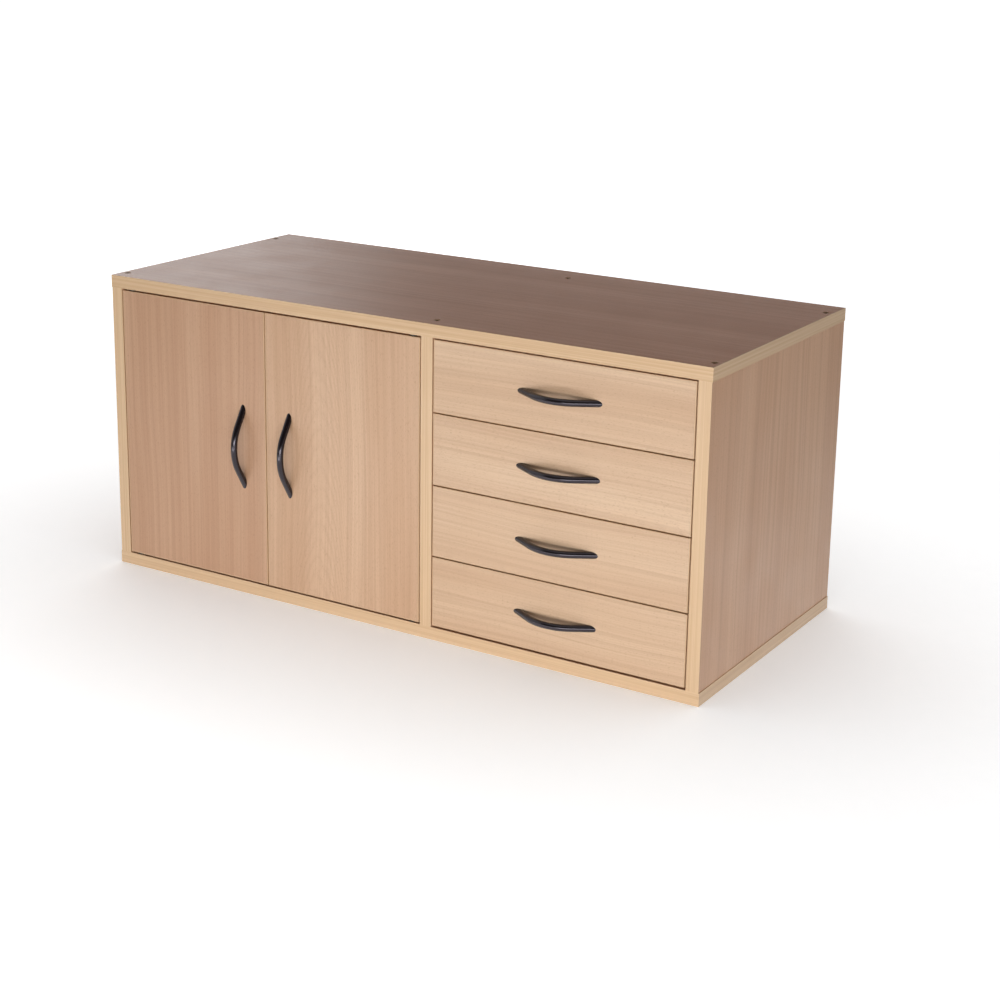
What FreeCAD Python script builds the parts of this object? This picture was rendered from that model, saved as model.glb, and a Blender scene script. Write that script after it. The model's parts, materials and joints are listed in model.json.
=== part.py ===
import FreeCAD, Part
import math
import os
import re
import Sketcher

# Workbench cabinet: a cupboard with two inset doors on pivot pins beside a stack of four
# inset drawers on roller runners. Origin at the middle of the underside, +Z up, the front
# faces -Y and the doors are on the left.

# Counts
DRAWERS = 4
SHELF_PIN_ROWS = 5

# Driving sizes in millimetres and degrees: name, value, what it measures
SIZES = (
    ("total_width", 960, "top and bottom panels from end to end"),
    ("total_depth", 415, "front edge to rear edge"),
    ("total_height", 438, "underside to top surface"),
    ("board", 18, "thickness of the carcass boards"),
    ("front_board", 18, "thickness of doors and drawer fronts"),
    ("end_overhang", 1, "top and bottom panels past the sides"),
    ("cupboard_width", 520, "clear width behind the doors"),
    ("overrun", 2, "how far a cutting tool passes a face"),
    ("back_board", 4, "thickness of the back panel"),
    ("back_inset", 10, "rear edge to the back panel's rear face"),
    ("back_groove", 8, "depth of the grooves that hold the back panel"),
    ("back_slack", 0.15, "play of the back panel at each face of its grooves"),
    ("back_end_slack", 0.5, "play of the back panel at the bottom of its grooves"),
    ("shelf_level", 212, "underside of the shelf above the floor"),
    ("shelf_setback", 25, "shelf's front edge behind the doors"),
    ("shelf_slack", 1, "play of the shelf at its ends and rear edge"),
    ("shelf_pin", 5, "diameter of the shelf pins"),
    ("shelf_pin_depth", 7, "depth of a pin in the board"),
    ("shelf_pin_reach", 9, "length of a pin under the shelf"),
    ("shelf_pin_pitch", 32, "spacing of the pin holes up the board"),
    ("shelf_pin_inset", 45, "pins from the shelf's front and rear edges"),
    ("shelf_collar", 9, "diameter of the collar of a shelf pin"),
    ("shelf_collar_height", 0.8, "thickness of that collar"),
    ("hole_clearance", 0.1, "radial play of screws and pegs in their holes"),
    ("screw_shank", 5, "diameter of the carcass screws"),
    ("screw_length", 52, "length of the carcass screws with their heads"),
    ("screw_head", 9, "diameter of their countersunk heads"),
    ("screw_head_height", 3, "height of those heads"),
    ("screw_sink", 0.6, "heads below the surface"),
    ("screw_from_front", 24, "front screws behind the front edge"),
    ("screw_from_rear", 46, "rear screws before the rear edge"),
    ("door_side_gap", 2, "door to the upright beside it"),
    ("door_meet_gap", 2, "between the two doors"),
    ("door_end_gap", 2.6, "above and below a door"),
    ("pivot_from_edge", 14, "pivot axis to the door's hinge edge"),
    ("pivot_from_front", 7, "pivot axis behind the door's front face"),
    ("pivot_pin", 5, "diameter of the pivot pins"),
    ("pivot_in_door", 20, "pin length in the door"),
    ("pivot_in_bush", 8, "pin length in the bush's body"),
    ("pivot_clearance", 0.05, "radial running play of pin and bush"),
    ("pivot_end_play", 0.2, "play at the ends of the pins"),
    ("pivot_collar", 9, "diameter of the collar on the pin"),
    ("bush_body", 8, "diameter of the pivot bushes"),
    ("bush_end", 1, "closed end of a bush"),
    ("bush_flange", 11.6, "diameter of a bush's flange"),
    ("bush_flange_height", 1.4, "thickness of that flange"),
    ("catch_width", 52, "width of the magnetic catch"),
    ("catch_depth", 16, "depth of its housing"),
    ("catch_height", 18, "height of its housing"),
    ("catch_gap", 0.3, "magnet to strike plate with the door shut"),
    ("catch_peg", 5, "diameter of the pegs that hold the catch"),
    ("catch_peg_length", 9, "length of those pegs in the top"),
    ("catch_peg_spacing", 32, "spacing of those pegs"),
    ("magnet_width", 14, "width of a magnet"),
    ("magnet_height", 8, "height of a magnet"),
    ("magnet_depth", 2.5, "magnet proud of the housing"),
    ("magnet_drop", 7, "magnet below the underside of the top"),
    ("magnet_from_middle", 6, "magnet to the middle of the catch"),
    ("strike_board", 1.5, "thickness of the strike plates"),
    ("strike_margin", 1.6, "strike plate past the magnet's edges"),
    ("handle_bar", 9.2, "diameter of the handle's bar"),
    ("handle_rise", 21.2, "middle of the bar above the surface at its highest"),
    ("handle_bend", 63, "radius of the bend along the bar's middle"),
    ("handle_leg_angle", 31, "slope of the straight legs in degrees"),
    ("handle_centres", 96, "spacing of the handle's screws"),
    ("handle_from_edge", 39.5, "door handle to the door's free edge"),
    ("handle_screw", 4, "diameter of the handle screws"),
    ("handle_screw_bite", 5, "screw length in the handle"),
    ("handle_screw_head", 8, "diameter of the screw heads"),
    ("handle_screw_head_height", 2.2, "height of the screw heads"),
    ("drawer_side_gap", 2, "drawer front to the upright beside it"),
    ("drawer_gap", 2, "between two drawer fronts"),
    ("drawer_top_gap", 2, "above the top drawer front"),
    ("drawer_bottom_gap", 3, "below the bottom drawer front"),
    ("box_board", 12, "thickness of drawer sides and back"),
    ("box_drop", 10.75, "drawer sides below the front's upper edge"),
    ("box_lift", 17, "drawer sides above the front's lower edge"),
    ("box_depth", 350, "length of the drawer sides"),
    ("base_board", 3, "thickness of the drawer base"),
    ("base_lift", 8, "base above the lower edge of the sides"),
    ("base_groove", 5, "depth of the grooves that hold the base"),
    ("base_slack", 0.15, "play of the base at each face of its grooves"),
    ("base_end_slack", 0.5, "play of the base at the bottom of its grooves"),
    ("runner_gap", 12.5, "upright to drawer side"),
    ("runner_sheet", 1.2, "sheet thickness of the runners"),
    ("runner_flange", 10.4, "width of the channel's flanges"),
    ("runner_length", 348, "length of channel and rail"),
    ("runner_start", 20, "channel and rail behind the front face"),
    ("runner_head", 0.6, "channel below the drawer side"),
    ("runner_foot", 9, "rail's foot under the drawer side"),
    ("runner_side_gap", 1.2, "rail to the channel's web"),
    ("runner_ear", 20, "length of the ears that carry the axles"),
    ("runner_ear_margin", 4.5, "ear past the axle's middle"),
    ("runner_screw", 3.5, "diameter of the runner screws"),
    ("runner_screw_length", 10, "runner screw length in the board"),
    ("runner_screw_head", 6.5, "diameter of their heads"),
    ("runner_screw_head_height", 1.1, "height of their heads"),
    ("runner_screw_first", 48, "first screw behind the channel's front end"),
    ("runner_screw_spacing", 224, "between the two screws of a channel"),
    ("roller_diameter", 14, "diameter of the rollers"),
    ("roller_width", 7, "width of the rollers"),
    ("roller_side_gap", 0.5, "roller to the ear beside it"),
    ("roller_clearance", 0.2, "roller to the track above and below"),
    ("axle_diameter", 4, "diameter of the roller axles"),
    ("axle_clearance", 0.05, "radial running play of roller and axle"),
    ("axle_head", 6.4, "diameter of the axle heads"),
    ("axle_head_height", 0.6, "thickness of the axle heads"),
    ("axle_head_gap", 0.2, "roller to the axle head"),
)

doc = FreeCAD.newDocument("WorkbenchCabinet")
sheet = doc.addObject("Spreadsheet::Sheet", "Sizes")
for row, (alias, value, note) in enumerate(SIZES, start=1):
    sheet.set(f"A{row}", note)
    sheet.set(f"B{row}", str(value))
    sheet.setAlias(f"B{row}", alias)
doc.recompute()

ALIAS = re.compile("|".join(rf"\b{alias}\b" for alias, _, _ in SIZES))
X_AXIS = FreeCAD.Vector(1, 0, 0)
Y_AXIS = FreeCAD.Vector(0, 1, 0)
Z_AXIS = FreeCAD.Vector(0, 0, 1)
# How a cylinder, which stands along +Z, is turned to point along each direction
POINTING = {
    "+z": FreeCAD.Rotation(),
    "-z": FreeCAD.Rotation(X_AXIS, 180),
    "+x": FreeCAD.Rotation(Y_AXIS, 90),
    "-x": FreeCAD.Rotation(Y_AXIS, -90),
    "+y": FreeCAD.Rotation(X_AXIS, -90),
    "-y": FreeCAD.Rotation(X_AXIS, 90),
}
UPRIGHT = FreeCAD.Rotation(Y_AXIS, 90)
nodes = []


def bind(piece, prop, text):
    """Tie a property to an expression in the names of the sizes."""
    piece.setExpression(prop, ALIAS.sub(lambda found: f"Sizes.{found.group()}", text))


def put(piece, place, turn=None):
    """Tie a piece's position to expressions and give it a fixed turn."""
    if turn:
        piece.Placement = FreeCAD.Placement(FreeCAD.Vector(), turn)
    for axis, text in zip("xyz", place):
        bind(piece, f"Placement.Base.{axis}", text)


def box(name, low, high):
    """A block between two opposite corners."""
    piece = doc.addObject("Part::Box", name)
    for prop, start, end in zip(("Length", "Width", "Height"), low, high):
        bind(piece, prop, f"({end}) - ({start})")
    put(piece, low)
    return piece


def rod(name, diameter, length, start, pointing):
    """A cylinder from a start point along one of the axes."""
    piece = doc.addObject("Part::Cylinder", name)
    bind(piece, "Radius", f"({diameter}) / 2")
    bind(piece, "Height", length)
    put(piece, start, POINTING[pointing])
    return piece


def fuse(name, pieces):
    piece = doc.addObject("Part::MultiFuse", name)
    piece.Shapes = pieces
    piece.Refine = True
    return piece


def group(name, pieces):
    piece = doc.addObject("Part::Compound", name)
    piece.Links = pieces
    return piece


def cut(name, base, tools):
    piece = doc.addObject("Part::Cut", name)
    piece.Base = base
    piece.Tool = group(f"{name}_tools", tools)
    return piece


def mirror(piece, normal=X_AXIS, base_z="0"):
    """The same piece reflected in a plane, by default the plane x = 0."""
    image = doc.addObject("Part::Mirroring", f"{piece.Name}_mirrored")
    image.Source = piece
    image.Normal = normal
    bind(image, "Base.z", base_z)
    return image


def keep(label, piece):
    """Name a sub-part that stands where it was made."""
    piece.Label = label
    nodes.append(piece)


def place(label, pieces, position, turn=None):
    """Name a sub-part made of pieces of a local frame, and set that frame's position."""
    piece = group(label, pieces)
    put(piece, position, turn)
    keep(label, piece)


# Planes of the carcass
front = "(-total_depth / 2)"
rear = "(total_depth / 2)"
front_rear = f"({front} + front_board)"
ceiling = "(total_height - board)"
clear_height = "(total_height - 2 * board)"
side_outer = "(total_width / 2 - end_overhang)"
side_middle = f"({side_outer} - board / 2)"
cupboard_left = f"(board - {side_outer})"
cupboard_right = f"({cupboard_left} + cupboard_width)"
cupboard_middle = f"({cupboard_left} + cupboard_width / 2)"
divider_middle = f"({cupboard_right} + board / 2)"
bay_left = f"({cupboard_right} + board)"
bay_right = f"({side_outer} - board)"
bay_middle = f"(({bay_left} + {bay_right}) / 2)"
bay_half = f"(({bay_right} - {bay_left}) / 2)"
back_rear = f"({rear} - back_inset)"
back_front = f"({back_rear} - back_board)"
groove_half = f"({bay_right} + back_groove)"

# Local frames: the cupboard's has x = 0 at its middle, a drawer's has x = 0 at the middle
# of the drawer bay and z = 0 at its front's lower edge, and both have y = 0 at the front
cupboard_frame = (cupboard_middle, front, "0")
front_height = (
    f"(({clear_height} - drawer_top_gap - drawer_bottom_gap - {DRAWERS - 1} * drawer_gap)"
    f" / {DRAWERS})"
)


def drawer_level(number):
    """Lower edge of a drawer front; drawer 1 is at the top."""
    below = DRAWERS - number
    return f"(board + drawer_bottom_gap + {below} * ({front_height} + drawer_gap))"


# Carcass screws and their holes, six down through the top, mirrored up through the bottom

def carcass_screw(name, x, y):
    neck = "(total_height - screw_sink - screw_head_height)"
    head = doc.addObject("Part::Cone", f"{name}_head")
    bind(head, "Radius1", "screw_shank / 2")
    bind(head, "Radius2", "screw_head / 2")
    bind(head, "Height", "screw_head_height")
    put(head, (x, y, neck))
    shank = rod(f"{name}_shank", "screw_shank", "screw_length - screw_head_height", (x, y, neck), "-z")
    return fuse(name, [head, shank])


def carcass_screw_hole(name, x, y):
    neck = "(total_height - screw_sink - screw_head_height)"
    seat = doc.addObject("Part::Cone", f"{name}_seat")
    bind(seat, "Radius1", "screw_shank / 2 + hole_clearance")
    bind(seat, "Radius2", "screw_head / 2 + hole_clearance")
    bind(seat, "Height", "screw_head_height")
    put(seat, (x, y, neck))
    mouth = rod(
        f"{name}_mouth", "screw_head + 2 * hole_clearance", "screw_sink + overrun",
        (x, y, "total_height - screw_sink"), "+z",
    )
    bore = rod(
        f"{name}_bore", "screw_shank + 2 * hole_clearance",
        "screw_length - screw_head_height + hole_clearance", (x, y, neck), "-z",
    )
    return fuse(name, [seat, mouth, bore])


screw_places = [
    (x, y)
    for x in (f"(-{side_middle})", divider_middle, side_middle)
    for y in (f"({front} + screw_from_front)", f"({rear} - screw_from_rear)")
]
carcass_screws = []
carcass_holes = []
for number, (x, y) in enumerate(screw_places, start=1):
    screw = carcass_screw(f"carcass_screw_{number}", x, y)
    hole = carcass_screw_hole(f"carcass_hole_{number}", x, y)
    carcass_screws += [screw, mirror(screw, Z_AXIS, "total_height / 2")]
    carcass_holes += [hole, mirror(hole, Z_AXIS, "total_height / 2")]
keep("carcass_screws", group("carcass_screws", carcass_screws))

# Shelf, its pins and the rows of pin holes, made at the left and mirrored to the divider
shelf_front = "(front_board + shelf_setback)"
shelf_rear = f"({back_front} - {front} - shelf_slack)"
shelf_half = "(cupboard_width / 2 - shelf_slack)"
pin_level = "(shelf_level - shelf_pin / 2)"
pin_depths = (f"({shelf_front} + shelf_pin_inset)", f"({shelf_rear} - shelf_pin_inset)")
shelf = box(
    "shelf_blank",
    (f"-{shelf_half}", shelf_front, "shelf_level"),
    (shelf_half, shelf_rear, "shelf_level + board"),
)
place("shelf", [shelf], cupboard_frame)
shelf_pins = []
pin_holes = []
for column, y in enumerate(pin_depths, start=1):
    wall = "(-cupboard_width / 2)"
    start = (f"{wall} - shelf_pin_depth", y, pin_level)
    peg = rod(f"shelf_peg_{column}", "shelf_pin", "shelf_pin_depth + shelf_pin_reach", start, "+x")
    collar = rod(f"shelf_collar_{column}", "shelf_collar", "shelf_collar_height", (wall, y, pin_level), "+x")
    clear = box(
        f"shelf_collar_top_{column}",
        (wall, f"{y} - shelf_collar", "shelf_level"),
        (f"{wall} + shelf_collar", f"{y} + shelf_collar", "shelf_level + shelf_collar"),
    )
    pin = cut(f"shelf_pin_{column}", fuse(f"shelf_pin_blank_{column}", [peg, collar]), [clear])
    shelf_pins += [pin, mirror(pin)]
    for row in range(SHELF_PIN_ROWS):
        step = row - SHELF_PIN_ROWS // 2
        hole = rod(
            f"pin_hole_{column}_{row}", "shelf_pin + 2 * hole_clearance",
            "shelf_pin_depth + hole_clearance + overrun",
            (f"{wall} + overrun", y, f"{pin_level} + {step} * shelf_pin_pitch"), "-x",
        )
        pin_holes += [hole, mirror(hole)]
place("shelf_pins", shelf_pins, cupboard_frame)
pin_hole_tools = group("pin_hole_tools", pin_holes)
put(pin_hole_tools, cupboard_frame)

# Pivot pins and bushes of the left door, lower end, mirrored to the upper end and to the right
pivot_x = "(door_side_gap + pivot_from_edge - cupboard_width / 2)"
door_bottom = "(board + door_end_gap)"
bush_bore_depth = "(pivot_in_bush + pivot_end_play)"
collar_height = "(door_end_gap - bush_flange_height - pivot_end_play)"


def at_pivot(z):
    return (pivot_x, "pivot_from_front", z)


bush_blank = fuse("bush_blank", [
    rod("bush_flange_blank", "bush_flange", "bush_flange_height", at_pivot("board"), "+z"),
    rod("bush_body_blank", "bush_body", f"{bush_bore_depth} + bush_end", at_pivot("board"), "-z"),
])
bush_bore = rod(
    "bush_bore", "pivot_pin + 2 * pivot_clearance",
    f"{bush_bore_depth} + bush_flange_height + overrun",
    at_pivot("board + bush_flange_height + overrun"), "-z",
)
lower_bush = cut("lower_bush", bush_blank, [bush_bore])
bush_seat = rod(
    "bush_seat", "bush_body + 2 * hole_clearance",
    f"{bush_bore_depth} + bush_end + hole_clearance + overrun", at_pivot("board + overrun"), "-z",
)
lower_pin = fuse("lower_pin", [
    rod(
        "lower_pin_shaft", "pivot_pin", "pivot_in_bush + door_end_gap + pivot_in_door",
        at_pivot("board - pivot_in_bush"), "+z",
    ),
    rod("lower_pin_collar", "pivot_collar", collar_height, at_pivot(door_bottom), "-z"),
])
pin_socket = rod(
    "pin_socket", "pivot_pin + 2 * hole_clearance", "pivot_in_door + hole_clearance + overrun",
    at_pivot(f"{door_bottom} - overrun"), "+z",
)
middle_height = "total_height / 2"
bushes = [lower_bush, mirror(lower_bush, Z_AXIS, middle_height)]
bush_seats = [bush_seat, mirror(bush_seat, Z_AXIS, middle_height)]
pivot_pins = [lower_pin, mirror(lower_pin, Z_AXIS, middle_height)]
pin_sockets = [pin_socket, mirror(pin_socket, Z_AXIS, middle_height)]
place("pivot_bushes", bushes + [mirror(bush) for bush in bushes], cupboard_frame)
bush_seat_tools = group("bush_seat_tools", bush_seats + [mirror(seat) for seat in bush_seats])
put(bush_seat_tools, cupboard_frame)

# Double magnetic catch under the top, in the middle of the cupboard
catch_face = "(front_board + strike_board + catch_gap)"
housing_face = f"({catch_face} + magnet_depth)"
magnet_top = f"({ceiling} - magnet_drop)"
peg_y = f"({housing_face} + catch_depth / 2)"
catch_block = box(
    "catch_block",
    ("-catch_width / 2", housing_face, f"{ceiling} - catch_height"),
    ("catch_width / 2", f"{housing_face} + catch_depth", ceiling),
)
peg_x = "(-catch_peg_spacing / 2)"
peg_left = rod("catch_peg_left", "catch_peg", "catch_peg_length", (peg_x, peg_y, ceiling), "+z")
peg_seat = rod(
    "catch_peg_seat", "catch_peg + 2 * hole_clearance", "catch_peg_length + hole_clearance + overrun",
    (peg_x, peg_y, f"{ceiling} - overrun"), "+z",
)
catch_housing = fuse("catch_housing", [catch_block, peg_left, mirror(peg_left)])
place("magnetic_catch", [catch_housing], cupboard_frame)
peg_seat_tools = group("peg_seat_tools", [peg_seat, mirror(peg_seat)])
put(peg_seat_tools, cupboard_frame)
magnet = box(
    "magnet_blank",
    ("-magnet_from_middle - magnet_width", catch_face, f"{magnet_top} - magnet_height"),
    ("-magnet_from_middle", housing_face, magnet_top),
)
place("catch_magnets", [magnet, mirror(magnet)], cupboard_frame)
strike = box(
    "strike_blank",
    (
        "-magnet_from_middle - magnet_width - strike_margin", "front_board",
        f"{magnet_top} - magnet_height - strike_margin",
    ),
    ("-magnet_from_middle + strike_margin", "front_board + strike_board", f"{magnet_top} + strike_margin"),
)

# Handle: a round bar with a bend between two straight legs, cut off flush with the surface.
# Its own frame has x along the handle, y = 0 at the surface and the bow towards -Y.

def plane_of(body, role):
    return next(plane for plane in body.Origin.OriginFeatures if plane.Role == role)


def handle_bar():
    body = doc.addObject("PartDesign::Body", "handle_bar_body")
    rise = sheet.handle_rise
    bend = sheet.handle_bend
    slope = math.radians(sheet.handle_leg_angle)
    centre = FreeCAD.Vector(0, bend - rise, 0)
    bend_end = centre + FreeCAD.Vector(bend * math.sin(slope), -bend * math.cos(slope), 0)
    leg_run = (sheet.handle_bar - bend_end.y) / math.tan(slope)
    leg_end = FreeCAD.Vector(bend_end.x + leg_run, sheet.handle_bar, 0)

    path = body.newObject("Sketcher::SketchObject", "handle_path")
    path.AttachmentSupport = [(plane_of(body, "XY_Plane"), "")]
    path.MapMode = "FlatFace"
    circle = Part.Circle(centre, Z_AXIS, bend)
    start_angle = -math.pi / 2
    arc = path.addGeometry(Part.ArcOfCircle(circle, start_angle, start_angle + slope))
    leg = path.addGeometry(Part.LineSegment(bend_end, leg_end))
    path.addConstraint(Sketcher.Constraint("PointOnObject", arc, 3, -2))
    path.addConstraint(Sketcher.Constraint("PointOnObject", arc, 1, -2))
    path.addConstraint(Sketcher.Constraint("Tangent", arc, 2, leg, 1))
    named = (
        ("bend", Sketcher.Constraint("Radius", arc, bend), "handle_bend"),
        ("rise", Sketcher.Constraint("DistanceY", arc, 1, -1, 1, rise), "handle_rise"),
        ("slope", Sketcher.Constraint("Angle", leg, slope), "handle_leg_angle"),
        ("leg_end", Sketcher.Constraint("DistanceY", -1, 1, leg, 2, leg_end.y), "handle_bar"),
    )
    for name, constraint, text in named:
        index = path.addConstraint(constraint)
        path.renameConstraint(index, name)
        bind(path, f"Constraints.{name}", text)

    section = body.newObject("Sketcher::SketchObject", "handle_section")
    section.AttachmentSupport = [(plane_of(body, "YZ_Plane"), "")]
    section.MapMode = "FlatFace"
    ring = section.addGeometry(Part.Circle(FreeCAD.Vector(-rise, 0, 0), Z_AXIS, sheet.handle_bar / 2))
    section.addConstraint(Sketcher.Constraint("PointOnObject", ring, 3, -1))
    named = (
        ("centre", Sketcher.Constraint("DistanceX", ring, 3, -1, 1, rise), "handle_rise"),
        ("radius", Sketcher.Constraint("Radius", ring, sheet.handle_bar / 2), "handle_bar / 2"),
    )
    for name, constraint, text in named:
        index = section.addConstraint(constraint)
        section.renameConstraint(index, name)
        bind(section, f"Constraints.{name}", text)
    doc.recompute()

    pipe = body.newObject("PartDesign::AdditivePipe", "handle_half")
    pipe.Profile = section
    pipe.Spine = path
    doc.recompute()
    whole = body.newObject("PartDesign::Mirrored", "handle_whole")
    whole.Originals = [pipe]
    whole.MirrorPlane = (plane_of(body, "YZ_Plane"), [""])
    body.Tip = whole
    doc.recompute()
    return body


handle_blank = handle_bar()
screw_x = "(-handle_centres / 2)"
screw_seat = (screw_x, "front_board", "0")
handle_trim = box(
    "handle_trim",
    ("-handle_centres - overrun", "0", "-handle_bar"),
    ("handle_centres + overrun", "2 * handle_bar + overrun", "handle_bar"),
)
handle_socket = rod(
    "handle_socket", "handle_screw + 2 * hole_clearance", "handle_screw_bite + hole_clearance + overrun",
    (screw_x, "overrun", "0"), "-y",
)
handle = cut("handle", handle_blank, [
    fuse("handle_tools_fused", [handle_trim, handle_socket, mirror(handle_socket)]),
])
handle_screw = fuse("handle_screw_blank", [
    rod("handle_screw_shank", "handle_screw", "front_board + handle_screw_bite", screw_seat, "-y"),
    rod("handle_screw_cap", "handle_screw_head", "handle_screw_head_height", screw_seat, "+y"),
])
handle_screws = [handle_screw, mirror(handle_screw)]
screw_hole = rod(
    "handle_screw_hole", "handle_screw + 2 * hole_clearance", "front_board + 2 * overrun",
    (screw_x, "-overrun", "0"), "+y",
)
screw_holes = [screw_hole, mirror(screw_hole)]

# Doors: the left one, mirrored to the right
door_left = "(door_side_gap - cupboard_width / 2)"
door_right = "(-door_meet_gap / 2)"
door_top = f"({ceiling} - door_end_gap)"
door_handle_x = f"({door_right} - handle_from_edge)"
door_holes = group("door_handle_holes", screw_holes)
put(door_holes, (door_handle_x, "0", middle_height), UPRIGHT)
door_panel = cut(
    "door_blank",
    box("door_board", (door_left, "0", door_bottom), (door_right, "front_board", door_top)),
    [door_holes] + pin_sockets,
)
door_handle = group("door_handle", [handle])
put(door_handle, (door_handle_x, "0", middle_height), UPRIGHT)
door_screws = group("door_screws", handle_screws)
put(door_screws, (door_handle_x, "0", middle_height), UPRIGHT)
door_pieces = (
    ("panel", [door_panel]),
    ("handle", [door_handle]),
    ("handle_screws", [door_screws]),
    ("pivot_pins", pivot_pins),
    ("strike_plate", [strike]),
)
for kind, pieces in door_pieces:
    place(f"left_door_{kind}", pieces, cupboard_frame)
    place(f"right_door_{kind}", [mirror(piece) for piece in pieces], cupboard_frame)

# Roller runners at the left of a drawer, mirrored to its right
wall = f"(-{bay_half})"
track_end = "(runner_start + runner_length)"
channel_top = "(box_lift - runner_head)"
channel_bottom = f"({channel_top} - roller_diameter - 2 * roller_clearance - 2 * runner_sheet)"
channel_middle = f"(({channel_top} + {channel_bottom}) / 2)"
front_roller_y = "(runner_start + runner_ear / 2)"
front_roller_z = f"({channel_top} + roller_clearance + roller_diameter / 2)"
rear_roller_y = f"({track_end} - runner_ear / 2)"
rear_roller_z = f"({channel_bottom} + runner_sheet + roller_clearance + roller_diameter / 2)"
rail_bottom = f"({front_roller_z} + roller_diameter / 2 + roller_clearance)"
rail_face = f"({wall} + runner_gap - runner_sheet)"
axle_reach = "(roller_side_gap + roller_width + axle_head_gap)"


def axle(name, start, pointing, head_start):
    return [
        rod(f"{name}_pin", "axle_diameter", axle_reach, start, pointing),
        rod(f"{name}_head", "axle_head", "axle_head_height", head_start, pointing),
    ]


def roller(name, start, pointing):
    bore = rod(f"{name}_bore", "axle_diameter + 2 * axle_clearance", "roller_width", start, pointing)
    return cut(name, rod(f"{name}_blank", "roller_diameter", "roller_width", start, pointing), [bore])


def channel():
    """The cabinet's half of a runner, with the front roller's axle."""
    ear_face = f"({wall} + runner_sheet)"
    flange_edge = f"({wall} + runner_flange)"
    web = box("channel_web", (wall, "runner_start", channel_bottom), (ear_face, track_end, channel_top))
    flanges = [
        box(f"channel_{name}", (wall, "runner_start", low), (flange_edge, track_end, f"{low} + runner_sheet"))
        for name, low in (("top", f"({channel_top} - runner_sheet)"), ("bottom", channel_bottom))
    ]
    ear = box(
        "channel_ear",
        (wall, "runner_start", channel_middle),
        (ear_face, "runner_start + runner_ear", f"{front_roller_z} + runner_ear_margin"),
    )
    pin = axle(
        "front_axle", (ear_face, front_roller_y, front_roller_z), "+x",
        (f"{ear_face} + {axle_reach}", front_roller_y, front_roller_z),
    )
    return fuse("channel_blank", [web, ear] + flanges + pin)


def rail():
    """The drawer's half of a runner, with the rear roller's axle."""
    outer = f"({wall} + runner_gap)"
    leg = box(
        "rail_leg",
        (rail_face, "runner_start", "box_lift - runner_sheet"),
        (outer, track_end, f"{rail_bottom} + runner_sheet"),
    )
    foot = box(
        "rail_foot",
        (rail_face, "runner_start", "box_lift - runner_sheet"),
        (f"{outer} + runner_foot", track_end, "box_lift"),
    )
    track = box(
        "rail_track",
        (f"{wall} + runner_sheet + runner_side_gap", "runner_start", rail_bottom),
        (outer, track_end, f"{rail_bottom} + runner_sheet"),
    )
    ear = box(
        "rail_ear",
        (rail_face, f"{track_end} - runner_ear", f"{rear_roller_z} - runner_ear_margin"),
        (outer, track_end, "box_lift"),
    )
    pin = axle(
        "rear_axle", (rail_face, rear_roller_y, rear_roller_z), "-x",
        (f"{rail_face} - {axle_reach}", rear_roller_y, rear_roller_z),
    )
    return fuse("rail_blank", [leg, foot, track, ear] + pin)


def runner_screw(name, y):
    seat = (f"{wall} + runner_sheet", y, channel_middle)
    shank = rod(f"{name}_shank", "runner_screw", "runner_sheet + runner_screw_length", seat, "-x")
    head = rod(f"{name}_head", "runner_screw_head", "runner_screw_head_height", seat, "+x")
    return fuse(name, [shank, head])


def runner_screw_hole(name, y):
    start = (f"{wall} + runner_sheet + overrun", y, channel_middle)
    length = "runner_sheet + runner_screw_length + hole_clearance + overrun"
    return rod(name, "runner_screw + 2 * hole_clearance", length, start, "-x")


screw_rows = (
    "(runner_start + runner_screw_first)",
    "(runner_start + runner_screw_first + runner_screw_spacing)",
)
runner_screws = [runner_screw(f"runner_screw_{row}", y) for row, y in enumerate(screw_rows, start=1)]
runner_holes = [runner_screw_hole(f"runner_hole_{row}", y) for row, y in enumerate(screw_rows, start=1)]
channel_left = cut("channel_left", channel(), runner_holes)
rail_left = rail()
front_roller = roller(
    "front_roller", (f"{wall} + runner_sheet + roller_side_gap", front_roller_y, front_roller_z), "+x",
)
rear_roller = roller("rear_roller", (f"{rail_face} - roller_side_gap", rear_roller_y, rear_roller_z), "-x")

# Drawer boards
box_outer = f"({bay_half} - runner_gap)"
box_inner = f"({box_outer} - box_board)"
box_rear = "(front_board + box_depth)"
box_top = f"({front_height} - box_drop)"
base_bottom = "(box_lift + base_lift)"
base_top = f"({base_bottom} + base_board)"
drawer_half = f"({bay_half} - drawer_side_gap)"
base_half = f"({box_inner} + base_groove)"
base_front = "(front_board - base_groove)"
base_groove_tool = box(
    "base_groove_tool",
    (f"-{base_half}", base_front, f"{base_bottom} - base_slack"),
    (base_half, f"{box_rear} + overrun", f"{base_top} + base_slack"),
)
drawer_holes = group("drawer_handle_holes", screw_holes)
put(drawer_holes, ("0", "0", f"{front_height} / 2"))
drawer_front = cut(
    "drawer_front_blank",
    box("drawer_front_board", (f"-{drawer_half}", "0", "0"), (drawer_half, "front_board", front_height)),
    [base_groove_tool, drawer_holes],
)
drawer_side = cut(
    "drawer_side_blank",
    box(
        "drawer_side_board",
        (f"-{box_outer}", "front_board", "box_lift"),
        (f"-{box_inner}", box_rear, box_top),
    ),
    [base_groove_tool],
)
drawer_back = box(
    "drawer_back_board",
    (f"-{box_inner}", f"{box_rear} - box_board", base_top),
    (box_inner, box_rear, box_top),
)
drawer_base = box(
    "drawer_base_board",
    (f"-({base_half} - base_end_slack)", f"{base_front} + base_end_slack", base_bottom),
    (f"{base_half} - base_end_slack", box_rear, base_top),
)
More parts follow.
